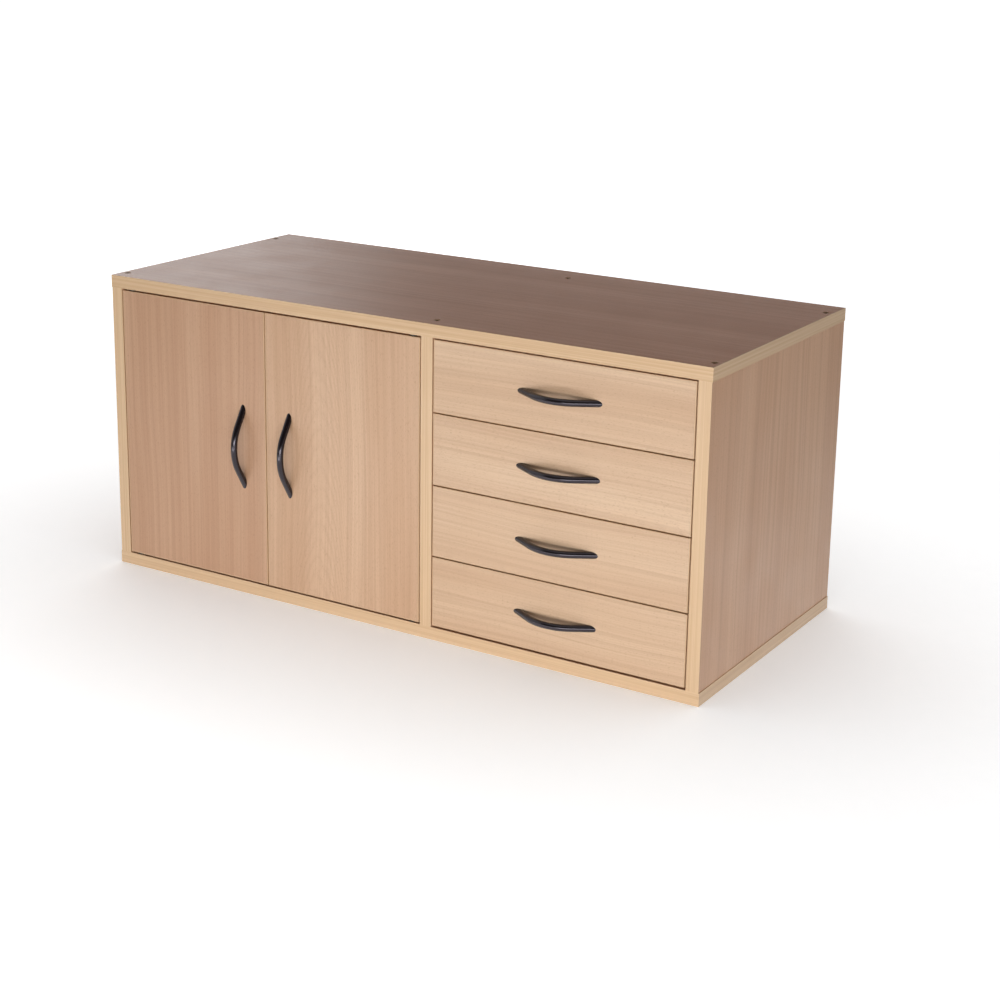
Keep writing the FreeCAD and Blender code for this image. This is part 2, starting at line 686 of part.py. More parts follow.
drawer_pieces = (
    ("front", [drawer_front]),
    ("sides", [drawer_side, mirror(drawer_side)]),
    ("back", [drawer_back]),
    ("base", [drawer_base]),
    ("runners", [rail_left, mirror(rail_left)]),
    ("front_rollers", [front_roller, mirror(front_roller)]),
    ("rear_rollers", [rear_roller, mirror(rear_roller)]),
)
cabinet_pieces = (
    ("cabinet_runners", [channel_left, mirror(channel_left)]),
    ("runner_screws", runner_screws + [mirror(screw) for screw in runner_screws]),
    ("runner_hole_tools", runner_holes + [mirror(hole) for hole in runner_holes]),
)
cabinet_groups = {kind: [] for kind, _ in cabinet_pieces}
for number in range(1, DRAWERS + 1):
    level = drawer_level(number)
    drawer_frame = (bay_middle, front, level)
    for kind, pieces in drawer_pieces:
        place(f"drawer_{number}_{kind}", pieces, drawer_frame)
    handle_place = (bay_middle, front, f"{level} + {front_height} / 2")
    place(f"drawer_{number}_handle", [handle], handle_place)
    place(f"drawer_{number}_handle_screws", handle_screws, handle_place)
    for kind, pieces in cabinet_pieces:
        held = group(f"{kind}_{number}", pieces)
        put(held, drawer_frame)
        cabinet_groups[kind].append(held)
keep("cabinet_runners", group("cabinet_runners", cabinet_groups["cabinet_runners"]))
keep("runner_screws", group("runner_screws", cabinet_groups["runner_screws"]))
runner_hole_tools = cabinet_groups["runner_hole_tools"]

# Carcass boards and the back panel in its grooves
groove_front = f"({back_front} - back_slack)"
groove_rear = f"({back_rear} + back_slack)"
back_groove_tool = box(
    "back_groove_tool",
    (f"-{groove_half}", groove_front, "board - back_groove"),
    (groove_half, groove_rear, f"{ceiling} + back_groove"),
)
back_half = f"({groove_half} - back_end_slack)"
keep("back_panel", box(
    "back_panel",
    (f"-{back_half}", back_front, "board - back_groove + back_end_slack"),
    (back_half, back_rear, f"{ceiling} + back_groove - back_end_slack"),
))
carcass_boards = (
    (
        "top_panel",
        ("-total_width / 2", front, ceiling), ("total_width / 2", rear, "total_height"),
        [bush_seat_tools, peg_seat_tools],
    ),
    (
        "bottom_panel",
        ("-total_width / 2", front, "0"), ("total_width / 2", rear, "board"),
        [bush_seat_tools],
    ),
    (
        "left_side_panel",
        (f"-{side_outer}", front, "board"), (cupboard_left, rear, ceiling),
        [pin_hole_tools],
    ),
    (
        "right_side_panel",
        (bay_right, front, "board"), (side_outer, rear, ceiling),
        runner_hole_tools,
    ),
    (
        "centre_divider",
        (cupboard_right, front, "board"), (bay_left, f"{back_front} - back_slack", ceiling),
        [pin_hole_tools] + runner_hole_tools,
    ),
)
for label, low, high, tools in carcass_boards:
    keep(label, cut(label, box(f"{label}_board", low, high), [back_groove_tool] + carcass_holes + tools))

# Build, test and write every sub-part
doc.recompute()
for item in doc.Objects:
    if "Invalid" in item.State or "Error" in item.State:
        raise RuntimeError(f"{item.Name} failed: {item.State}")
os.makedirs("parts", exist_ok=True)
for piece in nodes:
    shape = piece.Shape
    if shape.isNull() or not shape.isValid() or not shape.Solids:
        raise RuntimeError(f"{piece.Label} has no valid solid")
for piece in nodes:
    piece.Shape.exportStep(f"parts/{piece.Label}.step")
print(len(nodes), "sub-parts,", sum(len(piece.Shape.Solids) for piece in nodes), "solids")
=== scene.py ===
import json
import math
from typing import NamedTuple

import bmesh
import bpy
from mathutils import Matrix, Quaternion, Vector


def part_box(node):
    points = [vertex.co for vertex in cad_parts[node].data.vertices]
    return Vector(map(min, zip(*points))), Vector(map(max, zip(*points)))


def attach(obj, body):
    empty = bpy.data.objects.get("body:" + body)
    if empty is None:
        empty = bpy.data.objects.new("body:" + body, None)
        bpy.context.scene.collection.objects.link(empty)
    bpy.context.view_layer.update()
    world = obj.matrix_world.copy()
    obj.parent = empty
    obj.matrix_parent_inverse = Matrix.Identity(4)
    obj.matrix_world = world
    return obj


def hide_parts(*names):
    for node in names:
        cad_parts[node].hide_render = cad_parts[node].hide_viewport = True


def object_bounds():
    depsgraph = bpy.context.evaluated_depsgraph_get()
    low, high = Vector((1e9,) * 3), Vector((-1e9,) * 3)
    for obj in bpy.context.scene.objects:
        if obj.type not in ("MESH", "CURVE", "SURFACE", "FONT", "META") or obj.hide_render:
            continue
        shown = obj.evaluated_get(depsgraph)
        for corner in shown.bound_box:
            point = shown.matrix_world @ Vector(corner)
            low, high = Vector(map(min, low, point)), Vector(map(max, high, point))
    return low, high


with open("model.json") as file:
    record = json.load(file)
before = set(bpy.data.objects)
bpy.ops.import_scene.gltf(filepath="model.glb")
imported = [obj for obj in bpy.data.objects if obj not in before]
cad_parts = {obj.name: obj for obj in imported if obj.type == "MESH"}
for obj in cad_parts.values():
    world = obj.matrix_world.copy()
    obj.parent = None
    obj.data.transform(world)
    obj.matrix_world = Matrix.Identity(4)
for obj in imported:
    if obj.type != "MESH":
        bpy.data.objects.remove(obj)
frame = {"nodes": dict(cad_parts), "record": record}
cad_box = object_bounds()
nodes = frame["nodes"]
record = frame["record"]

# Workbench cabinet in beech laminate: two inset doors beside four inset drawers.
# Metres, origin at the middle of the underside, +Z up, the front faces -Y.

DRAWERS = (1, 2, 3, 4)
SIDES = ("left", "right")
MM = 0.001
AXES = {"x": 0, "y": 1, "z": 2}
WHITE = (1.0, 1.0, 1.0, 1.0)

# Camera at the photograph's viewing angle, its focal length in pixels of a square image
CAMERA_PLACE = (1.4415, -2.2606, 0.996)
CAMERA_AZIMUTH = math.radians(31.54)
CAMERA_ELEVATION = math.radians(14.96)
CAMERA_ROLL = math.radians(0.91)
CAMERA_SHIFT = -0.10
FOCAL_PIXELS = 1943.7
IMAGE_PIXELS = 1000
SENSOR = 36.0

# Rounded edges
BOARD_ARRIS = 0.3 * MM
METAL_ARRIS = 0.2 * MM
ROLLER_ARRIS = 0.4 * MM
CATCH_ARRIS = 0.6 * MM
ARRIS_SEGMENTS = 2
ARRIS_ANGLE = math.radians(40)
WELD_DISTANCE = 0.001 * MM

# Edge strips
BAND_THICKNESS = 0.9 * MM
GLUE_LINE = 0.2 * MM
GLUE_SHARE = 0.45

# Screws: radius and height of the head, radius of the shank, whole length
CARCASS_SCREW = (4.5 * MM, 3.0 * MM, 2.5 * MM, 52.0 * MM)
RUNNER_SCREW = (3.25 * MM, 1.1 * MM, 1.75 * MM, 12.3 * MM)
HANDLE_SCREW = (4.0 * MM, 2.2 * MM, 2.0 * MM, 25.2 * MM)
SCREW_STEPS = 32
SCREW_SHARP_ANGLE = math.radians(35)
THREAD_PITCH = 2.6 * MM
THREAD_ROOT_SHARE = 0.76
THREAD_FLANK_SHARE = 0.3
TIP_RADIUS_SHARE = 0.5
TIP_LENGTH_SHARE = 0.4
HEAD_RIM = 0.25 * MM
HEX_SIDES = 6
HEX_RADIUS = 2.4 * MM
HEX_DEPTH = 2.2 * MM
CUT_OVERRUN = 1.0 * MM
DOME_STEPS = 5
DOME_INSET_SHARE = 0.45
DOME_HEIGHT_SHARE = 0.6
CROSS_WIDTH = 1.1 * MM
CROSS_REACH_SHARE = 0.56
CROSS_DEPTH_SHARE = 0.75


def srgb(red, green, blue):
    """A colour written as 0 to 255, as linear light with full opacity."""
    def linear(value):
        share = value / 255
        return share / 12.92 if share <= 0.04045 else ((share + 0.055) / 1.055) ** 2.4
    return (linear(red), linear(green), linear(blue), 1.0)


def scaled(colour, *shares):
    """A colour with its channels multiplied, none above full light."""
    return tuple(min(1.0, channel * share) for channel, share in zip(colour, shares)) + (1.0,)


class Graph:
    """Short calls to build the nodes of a material or a world."""

    def __init__(self, owner):
        self.owner = owner
        owner.use_nodes = True
        self.tree = owner.node_tree
        place = self.add("ShaderNodeTexCoord")
        self.object = place.outputs["Object"]
        self.normal = place.outputs["Normal"]
        self.direction = place.outputs["Generated"]

    def add(self, kind, **settings):
        node = self.tree.nodes.new(kind)
        for name, value in settings.items():
            setattr(node, name, value)
        return node

    def feed(self, socket, value):
        """Link a socket, or set it to a plain value."""
        if isinstance(value, bpy.types.NodeSocket):
            self.tree.links.new(value, socket)
        else:
            socket.default_value = value

    def math(self, operation, first, second=0.0):
        node = self.add("ShaderNodeMath", operation=operation)
        self.feed(node.inputs[0], first)
        self.feed(node.inputs[1], second)
        return node.outputs[0]

    def split(self, vector):
        node = self.add("ShaderNodeSeparateXYZ")
        self.feed(node.inputs[0], vector)
        return node.outputs

    def vector(self, x, y, z):
        node = self.add("ShaderNodeCombineXYZ")
        for socket, value in zip(node.inputs, (x, y, z)):
            self.feed(socket, value)
        return node.outputs[0]

    def stretched(self, scale, shift=0.0):
        """The place on the object, scaled by axis and shifted."""
        node = self.add("ShaderNodeMapping")
        node.inputs["Scale"].default_value = scale
        node.inputs["Location"].default_value = (shift, shift, shift)
        self.feed(node.inputs["Vector"], self.object)
        return node.outputs[0]

    def noise(self, vector, detail=2.0, roughness=0.5, scale=1.0):
        node = self.add("ShaderNodeTexNoise")
        self.feed(node.inputs["Vector"], vector)
        node.inputs["Scale"].default_value = scale
        node.inputs["Detail"].default_value = detail
        node.inputs["Roughness"].default_value = roughness
        return node.outputs["Fac"]

    def waves(self, across, along, counts, seed, detail=2.0):
        """Noise with so many waves per metre across and along."""
        x = self.math("MULTIPLY", across, counts[0])
        y = self.math("MULTIPLY", along, counts[1])
        return self.noise(self.vector(x, y, seed), detail=detail)

    def spread(self, value, low, high, start=0.0, end=1.0):
        """Map low to high onto start to end, held at both ends."""
        node = self.add("ShaderNodeMapRange", clamp=True)
        self.feed(node.inputs["Value"], value)
        node.inputs["From Min"].default_value = low
        node.inputs["From Max"].default_value = high
        node.inputs["To Min"].default_value = start
        node.inputs["To Max"].default_value = end
        return node.outputs["Result"]

    def mix(self, share, first, second):
        """A colour between two others."""
        node = self.add("ShaderNodeMix", data_type="RGBA")
        self.feed(node.inputs[0], share)
        self.feed(node.inputs[6], first)
        self.feed(node.inputs[7], second)
        return node.outputs[2]

    def between(self, share, first, second):
        """A number between two others."""
        node = self.add("ShaderNodeMix", data_type="FLOAT")
        self.feed(node.inputs[0], share)
        self.feed(node.inputs[2], first)
        self.feed(node.inputs[3], second)
        return node.outputs[0]

    def bump(self, height, distance, strength):
        node = self.add("ShaderNodeBump")
        node.inputs["Strength"].default_value = strength
        node.inputs["Distance"].default_value = distance
        self.feed(node.inputs["Height"], height)
        return node.outputs["Normal"]

    def rays(self):
        """Two numbers: one for rays straight from the camera, and one for mirrored or bent ones."""
        path = self.add("ShaderNodeLightPath").outputs
        mirrored = self.math("MAXIMUM", path["Is Glossy Ray"], path["Is Transmission Ray"])
        return path["Is Camera Ray"], mirrored

    def finish(self, colour, roughness, normal=None, **constants):
        """Dress the material's own shader."""
        shader = self.tree.nodes["Principled BSDF"]
        self.feed(shader.inputs["Base Color"], colour)
        self.feed(shader.inputs["Roughness"], roughness)
        if normal:
            self.feed(shader.inputs["Normal"], normal)
        for name, value in constants.items():
            shader.inputs[name].default_value = value
        return self.owner


def new_material(name):
    return Graph(bpy.data.materials.new(name))


# Wood

FACE_TONES = {
    "pale": srgb(225, 194, 162),
    "warm": srgb(212, 177, 144),
    "streak": srgb(188, 149, 117),
    "fleck": srgb(160, 115, 85),
}
FOIL_TONES = {
    "pale": srgb(232, 207, 178),
    "warm": srgb(223, 193, 162),
    "streak": srgb(212, 179, 146),
    "fleck": srgb(188, 148, 114),
}
BAND_PALE = srgb(228, 195, 157)
BAND_WARM = srgb(214, 178, 138)
GLUE = srgb(150, 112, 76)
CHIP_PALE = srgb(206, 170, 126)
CHIP_DARK = srgb(140, 102, 66)
FIBRE_PALE = srgb(166, 124, 86)
FIBRE_DARK = srgb(132, 94, 62)

# The top and the left door are darker and redder than the drawer fronts: painted shade, standing in for the
# shade and warm bounce light that fall on them. The right door and the carcass are a little darker and
# redder than the drawer fronts.
CARCASS_TINT = (0.95, 0.82, 0.76)
TOP_SHADE_TINT = (0.92, 0.69, 0.67)
LEFT_DOOR_SHADE_TINT = (0.83, 0.72, 0.68)
RIGHT_DOOR_TINT = (0.96, 0.91, 0.89)
PLAIN_TINT = (1.0, 1.0, 1.0)

# Least and most roughness of the laminate, which is smoother on the top
SATIN = (0.38, 0.46)
TOP_SATIN = (0.18, 0.26)
RAW_ROUGHNESS = 0.4
PRINT_ROUGHNESS = 0.5
FIBRE_ROUGHNESS = 0.78
LAMINATE_RELIEF = 0.06 * MM
FIBRE_RELIEF = 0.05 * MM
RELIEF_STRENGTH = 0.5

# How squarely a surface faces an axis when it begins to count as a face, and when it fully does
FACE_TURN = (0.55, 0.8)
PRINT_TURN = (0.5, 0.8)


class Layer(NamedTuple):
    """One scale of grain: waves per metre across and along, detail, and where its marks start and fill."""

    counts: tuple
    detail: float
    start: float
    full: float


BANDS = Layer((17.0, 0.8), 2.0, 0.34, 0.66)
STREAKS = Layer((230.0, 1.5), 3.0, 0.42, 0.66)
LINES = Layer((850.0, 6.0), 2.0, 0.42, 0.68)
FLECKS = Layer((1900.0, 260.0), 0.0, 0.66, 0.76)
STRIPES = Layer((480.0, 2.2), 3.0, 0.34, 0.68)
STREAK_SHARE = 0.34
LINE_SHARE = 0.22
FLECK_SHARE = 0.30
LINE_DEPTH_SHARE = -0.4

# The grain sways from side to side, and round a heart line it runs in arcs
SWAY_COUNTS = (5.0, 1.6)
SWAY = 0.03
ARC_BOW = 6200.0
ARC_COUNT = 74.0
ARC_RIPPLE_COUNTS = (60.0, 12.0)
ARC_RIPPLE = 2.4
ARC_SHARPNESS = 2.0
ARC_SHARE = 0.26
ARC_FADE = (0.03, 0.09)
HEART_FADE = (0.0, 0.02)
HEART_SHARE = 0.4

# Sizes of chips and fibres, as counts per metre
CHIP_COUNTS = (260.0, 700.0, 480.0)
DUST_COUNT = 900.0
FIBRE_COUNT = 420.0
BLOTCH_COUNT = 24.0
CLOUD_COUNT = 14.0

# Low and high of a noise's middle part, where most of it lies, and how far the blotches shade the fibres
NOISE_SPAN = (0.3, 0.7)
BLOTCH_SPAN = (0.2, 0.8)
BLOTCH_LEAST = 0.6


def grain(graph, along, across, seed, tones, heart=None):
    """Colour and height of straight beech grain, with arcs about a heart line where one is given."""
    slow = graph.waves(across, along, SWAY_COUNTS, seed)
    bent = graph.math("ADD", across, graph.math("MULTIPLY", graph.math("SUBTRACT", slow, 0.5), SWAY))

    def marks(layer, shift):
        height = graph.waves(bent, along, layer.counts, seed + shift, layer.detail)
        return graph.spread(height, layer.start, layer.full)

    bands = marks(BANDS, BANDS.counts[0])
    streaks = marks(STREAKS, STREAKS.counts[0])
    lines = marks(LINES, LINES.counts[0])
    flecks = marks(FLECKS, 0.0)

    colour = graph.mix(bands, tones["pale"], tones["warm"])
    colour = graph.mix(graph.math("MULTIPLY", streaks, STREAK_SHARE), colour, tones["streak"])
    colour = graph.mix(graph.math("MULTIPLY", lines, LINE_SHARE), colour, tones["streak"])
    if heart is not None:
        arcs = heart_arcs(graph, along, bent, seed, heart)
        colour = graph.mix(arcs, colour, tones["streak"])
    colour = graph.mix(graph.math("MULTIPLY", flecks, FLECK_SHARE), colour, tones["fleck"])
    height = graph.math("SUBTRACT", graph.math("MULTIPLY", lines, LINE_DEPTH_SHARE), flecks)
    return colour, height


def heart_arcs(graph, along, bent, seed, heart):
    """Strength of the nested arcs about a heart line, fading out beside it."""
    aside = graph.math("SUBTRACT", bent, heart)
    bow = graph.math("MULTIPLY", graph.math("MULTIPLY", aside, aside), ARC_BOW)
    rings = graph.math("ADD", bow, graph.math("MULTIPLY", along, ARC_COUNT))
    ripple = graph.waves(bent, along, ARC_RIPPLE_COUNTS, seed + ARC_RIPPLE_COUNTS[0])
    uneven = graph.math("ADD", rings, graph.math("MULTIPLY", ripple, ARC_RIPPLE))
    arcs = graph.math("POWER", graph.math("PINGPONG", uneven, 1.0), ARC_SHARPNESS)
    reach = graph.math("ABSOLUTE", aside)
    outer = graph.spread(reach, *ARC_FADE, ARC_SHARE, 0.0)
    inner = graph.spread(reach, *HEART_FADE, HEART_SHARE)
    return graph.math("MULTIPLY", arcs, graph.math("MULTIPLY", outer, inner))


def edge_band(graph, depth, run, seed):
    """Colour of a glued edge strip, lined along its length."""
    stripes = graph.waves(depth, run, STRIPES.counts, seed, STRIPES.detail)
    return graph.mix(graph.spread(stripes, STRIPES.start, STRIPES.full), BAND_PALE, BAND_WARM)


def chipboard(graph, seed):
    """Colour and height of a raw, sawn chipboard edge."""
    chips = graph.add("ShaderNodeTexVoronoi", feature="F1")
    graph.feed(chips.inputs["Vector"], graph.stretched(CHIP_COUNTS, seed))
    chips.inputs["Scale"].default_value = 1.0
    shade = graph.split(chips.outputs["Color"])[0]
    dust = graph.noise(graph.object, detail=3.0, scale=DUST_COUNT)
    dark = graph.math("MULTIPLY", shade, graph.spread(dust, *NOISE_SPAN))
    colour = graph.mix(dark, CHIP_PALE, CHIP_DARK)
    return colour, graph.math("SUBTRACT", dust, chips.outputs["Distance"])


def edge_margin(graph, place, corners, banded):
    """Distance from the nearest banded edge, each named by its side and axis."""
    low, high = corners
    margin = None
    for side, axis_name in banded:
        axis = AXES[axis_name]
        limit = low[axis] if side == "-" else high[axis]
        distance = graph.math("ABSOLUTE", graph.math("SUBTRACT", place[axis], limit))
        margin = graph.math("MINIMUM", margin, distance) if margin else distance
    return margin


def board(
    name, node, face, along, seed, banded,
    tones=FACE_TONES, tint=PLAIN_TINT, heart=None, satin=SATIN,
):
    """A laminated chipboard piece: grain on its faces, strips on banded edges, raw chips on the rest."""
    graph = new_material(name)
    place = graph.split(graph.object)
    facing = graph.split(graph.normal)
    across = next(axis for axis in AXES if axis not in (face, along))
    low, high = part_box(node)
    middle = (low[AXES[across]] + high[AXES[across]]) / 2
    along_place = place[AXES[along]]
    across_place = graph.math("SUBTRACT", place[AXES[across]], middle)
    tinted_tones = {tone: scaled(colour, *tint) for tone, colour in tones.items()}
    colour, height = grain(graph, along_place, across_place, seed, tinted_tones, heart)

    run = graph.math("ADD", along_place, across_place)
    band_colour = edge_band(graph, place[AXES[face]], run, seed)
    margin = edge_margin(graph, place, (low, high), banded)
    in_band = graph.spread(margin, BAND_THICKNESS - GLUE_LINE / 2, BAND_THICKNESS + GLUE_LINE / 2, 1.0, 0.0)
    from_glue = graph.math("ABSOLUTE", graph.math("SUBTRACT", margin, BAND_THICKNESS))
    in_glue = graph.math("LESS_THAN", from_glue, GLUE_LINE)
    colour = graph.mix(in_band, colour, band_colour)
    colour = graph.mix(graph.math("MULTIPLY", in_glue, GLUE_SHARE), colour, GLUE)

    on_face = graph.spread(graph.math("ABSOLUTE", facing[AXES[face]]), *FACE_TURN)
    raw_colour, raw_height = chipboard(graph, seed)
    off_face = graph.math("SUBTRACT", 1.0, on_face)
    raw = graph.math("MULTIPLY", off_face, graph.math("SUBTRACT", 1.0, in_band))
    colour = graph.mix(raw, colour, raw_colour)
    face_height = graph.math("MULTIPLY", height, on_face)
    height = graph.math("ADD", face_height, graph.math("MULTIPLY", raw_height, raw))
    cloud = graph.noise(graph.object, scale=CLOUD_COUNT)
    gloss = graph.spread(cloud, *NOISE_SPAN, *satin)
    roughness = graph.math("ADD", gloss, graph.math("MULTIPLY", raw, RAW_ROUGHNESS))
    return graph.finish(colour, roughness, graph.bump(height, LAMINATE_RELIEF, RELIEF_STRENGTH))


def thin_board(name, face, along, seed, printed):
    """Fibreboard with printed grain on one side and brown fibres on the other."""
    graph = new_material(name)
    place = graph.split(graph.object)
    facing = graph.split(graph.normal)
    across = next(axis for axis in AXES if axis not in (face, along))
    colour, height = grain(graph, place[AXES[along]], place[AXES[across]], seed, FOIL_TONES)
    fibres = graph.noise(graph.object, detail=6.0, roughness=0.7, scale=FIBRE_COUNT)
    blotches = graph.noise(graph.object, scale=BLOTCH_COUNT)
    blotch_shade = graph.spread(blotches, *BLOTCH_SPAN, BLOTCH_LEAST, 1.0)
    shade = graph.math("MULTIPLY", graph.spread(fibres, *NOISE_SPAN), blotch_shade)
    raw_colour = graph.mix(shade, FIBRE_PALE, FIBRE_DARK)
    sign = 1.0 if printed == "+" else -1.0
    shown = graph.spread(graph.math("MULTIPLY", facing[AXES[face]], sign), *PRINT_TURN)
    height = graph.mix(shown, fibres, height)
    roughness = graph.spread(shown, 0.0, 1.0, FIBRE_ROUGHNESS, PRINT_ROUGHNESS)
    colour = graph.mix(shown, raw_colour, colour)
    return graph.finish(colour, roughness, graph.bump(height, FIBRE_RELIEF, RELIEF_STRENGTH))


# Metal and plastic

MOTTLE_COUNT = 60.0
MOTTLE_SPAN = (0.35, 0.65)
MOTTLE_GLOSS = (-0.03, 0.04)
PEEL_STRENGTH = 0.4
TARNISH = 0.78
TARNISH_COUNT = 180.0
TARNISH_SPAN = (0.35, 0.7)
SCRATCH_COUNTS = (3200.0, 240.0, 900.0)
SCRATCH_DEPTH = 0.01 * MM
SCRATCH_GLOSS = (-0.06, 0.1)
SCRATCH_STRENGTH = 0.3


def coated(name, colour, roughness, peel_count, peel_depth, mottle=0.05, **constants):
    """Paint or plastic with a fine skin, slightly mottled in tone and gloss."""
    graph = new_material(name)
    peel = graph.noise(graph.object, scale=peel_count)
    cloud = graph.noise(graph.object, detail=3.0, scale=MOTTLE_COUNT)
    lighter = scaled(colour, *[1.0 + mottle] * 3)
    tone = graph.mix(graph.spread(cloud, *MOTTLE_SPAN), colour, lighter)
    gloss = graph.spread(cloud, *NOISE_SPAN, *(roughness + change for change in MOTTLE_GLOSS))
    return graph.finish(tone, gloss, graph.bump(peel, peel_depth, PEEL_STRENGTH), **constants)


def plated(name, colour, roughness):
    """Zinc-plated or bronzed steel, faintly scratched."""
    graph = new_material(name)
    lines = graph.noise(graph.stretched(SCRATCH_COUNTS))
    cloud = graph.noise(graph.object, scale=TARNISH_COUNT)
    darker = scaled(colour, *[TARNISH] * 3)
    tone = graph.mix(graph.spread(cloud, *TARNISH_SPAN), colour, darker)
    gloss = graph.spread(lines, *NOISE_SPAN, *(roughness + change for change in SCRATCH_GLOSS))
    return graph.finish(tone, gloss, graph.bump(lines, SCRATCH_DEPTH, SCRATCH_STRENGTH), Metallic=1.0)


def dress(node, material, arris=0.0):
    """Give a CAD node its material and, where asked, slightly rounded edges."""
    piece = nodes[node]
    piece.data.materials.clear()
    piece.data.materials.append(material)
    if arris:
        weld = piece.modifiers.new("weld", "WELD")
        weld.merge_threshold = WELD_DISTANCE
        rounding = piece.modifiers.new("arris", "BEVEL")
        rounding.width = arris
        rounding.segments = ARRIS_SEGMENTS
        rounding.limit_method = "ANGLE"
        rounding.angle_limit = ARRIS_ANGLE
        rounding.harden_normals = True


# Boards, each with its face, the way its grain runs and its banded edges

FRONT_EDGES = ("-x", "+x", "-z", "+z")
TOP_EDGE = ("+z",)

# Where the grain of each board starts in the noise, so that no two look alike
CARCASS_SEED_STEP = 3.7
DRAWER_SEED = 20
DRAWER_SEED_STEP = 4.3
LEFT_DOOR_SEED = 40.7
RIGHT_DOOR_SEED = 44.4
BACK_SEED = 71.0

# Place of the heart line across the right door, from its middle
RIGHT_DOOR_HEART = -0.04

carcass_boards = (
    ("top_panel", "z", "x", ("-y", "-x", "+x")),
    ("bottom_panel", "z", "x", ("-y", "-x", "+x")),
    ("left_side_panel", "x", "z", ("-y",)),
    ("right_side_panel", "x", "z", ("-y",)),
    ("centre_divider", "x", "z", ("-y",)),
    ("shelf", "z", "x", ("-y",)),
)
for count, (node, face, along, banded) in enumerate(carcass_boards, start=1):
    # The top's darker, redder tint is painted shade
    tint, satin = (TOP_SHADE_TINT, TOP_SATIN) if node == "top_panel" else (CARCASS_TINT, SATIN)
    seed = count * CARCASS_SEED_STEP
    laminate = board(f"laminate_{node}", node, face, along, seed, banded, tint=tint, satin=satin)
    dress(node, laminate, BOARD_ARRIS)
dress("back_panel", thin_board("fibreboard_back_panel", "y", "z", BACK_SEED, "-"))

doors = (
    # The left door's darker, redder tint is painted shade
    ("left_door_panel", LEFT_DOOR_SEED, LEFT_DOOR_SHADE_TINT, None),
    ("right_door_panel", RIGHT_DOOR_SEED, RIGHT_DOOR_TINT, RIGHT_DOOR_HEART),
)
for node, seed, tint, heart in doors:
    laminate = board(f"laminate_{node}", node, "y", "z", seed, FRONT_EDGES, tint=tint, heart=heart)
    dress(node, laminate, BOARD_ARRIS)

for number in DRAWERS:
    seed = DRAWER_SEED + number * DRAWER_SEED_STEP
    front, sides, back, base = (f"drawer_{number}_{kind}" for kind in ("front", "sides", "back", "base"))
    dress(front, board(f"laminate_{front}", front, "y", "x", seed, FRONT_EDGES), BOARD_ARRIS)
    dress(sides, board(f"foil_{sides}", sides, "x", "y", seed + 1, TOP_EDGE, FOIL_TONES), BOARD_ARRIS)
    dress(back, board(f"foil_{back}", back, "y", "x", seed + 2, TOP_EDGE, FOIL_TONES), BOARD_ARRIS)
    dress(base, thin_board(f"fibreboard_{base}", "z", "y", seed + 3, "+"))


# Fittings

PAINT_PEEL = 0.01 * MM
NYLON_PEEL = 0.02 * MM
COAT_PEEL = 0.03 * MM

black_paint = coated(
    "black_paint", srgb(17, 11, 12), roughness=0.16, peel_count=1400.0, peel_depth=PAINT_PEEL, mottle=0.4,
    **{"Specular Tint": (0.95, 0.88, 1.0, 1.0)},
)
cream_paint = coated(
    "cream_paint", srgb(232, 228, 216), roughness=0.42, peel_count=900.0, peel_depth=COAT_PEEL,
)
nylon = coated("nylon", srgb(236, 233, 225), roughness=0.5, peel_count=700.0, peel_depth=NYLON_PEEL)
brown_plastic = coated(
    "brown_plastic", srgb(104, 74, 52), roughness=0.5, peel_count=1100.0, peel_depth=COAT_PEEL,
)
dark_plastic = coated(
    "dark_plastic", srgb(58, 44, 36), roughness=0.55, peel_count=1100.0, peel_depth=COAT_PEEL,
)
zinc = plated("zinc", srgb(196, 197, 200), roughness=0.34)
yellow_zinc = plated("yellow_zinc", srgb(176, 146, 108), roughness=0.42)
magnet_steel = plated("magnet_steel", srgb(120, 120, 124), roughness=0.4)
dull_steel = plated("dull_steel", srgb(104, 98, 92), roughness=0.55)

for side in SIDES:
    dress(f"{side}_door_handle", black_paint)
    dress(f"{side}_door_pivot_pins", dull_steel)
    dress(f"{side}_door_strike_plate", zinc, METAL_ARRIS)
for number in DRAWERS:
    dress(f"drawer_{number}_handle", black_paint)
    dress(f"drawer_{number}_runners", cream_paint, METAL_ARRIS)
    dress(f"drawer_{number}_front_rollers", nylon, ROLLER_ARRIS)
    dress(f"drawer_{number}_rear_rollers", nylon, ROLLER_ARRIS)
dress("cabinet_runners", cream_paint, METAL_ARRIS)
dress("shelf_pins", zinc)
dress("pivot_bushes", dark_plastic)
dress("magnetic_catch", brown_plastic, CATCH_ARRIS)
dress("catch_magnets", magnet_steel, METAL_ARRIS)


# Screws with recessed heads and threads, one set for each group of plain CAD screws

def islands(node):
    """Lowest and highest corners of each separate solid in a CAD node."""
    solid = bmesh.new()
    solid.from_mesh(nodes[node].data)
    bmesh.ops.remove_doubles(solid, verts=solid.verts, dist=WELD_DISTANCE)
    seen = set()
    boxes = []
    for first in solid.verts:
        if first in seen:
            continue
        seen.add(first)
        found = [first]
        for vert in found:
            for edge in vert.link_edges:
                other = edge.other_vert(vert)
                if other not in seen:
                    seen.add(other)
                    found.append(other)
        columns = list(zip(*(vert.co for vert in found)))
        boxes.append((Vector(map(min, columns)), Vector(map(max, columns))))
    solid.free()
    return boxes


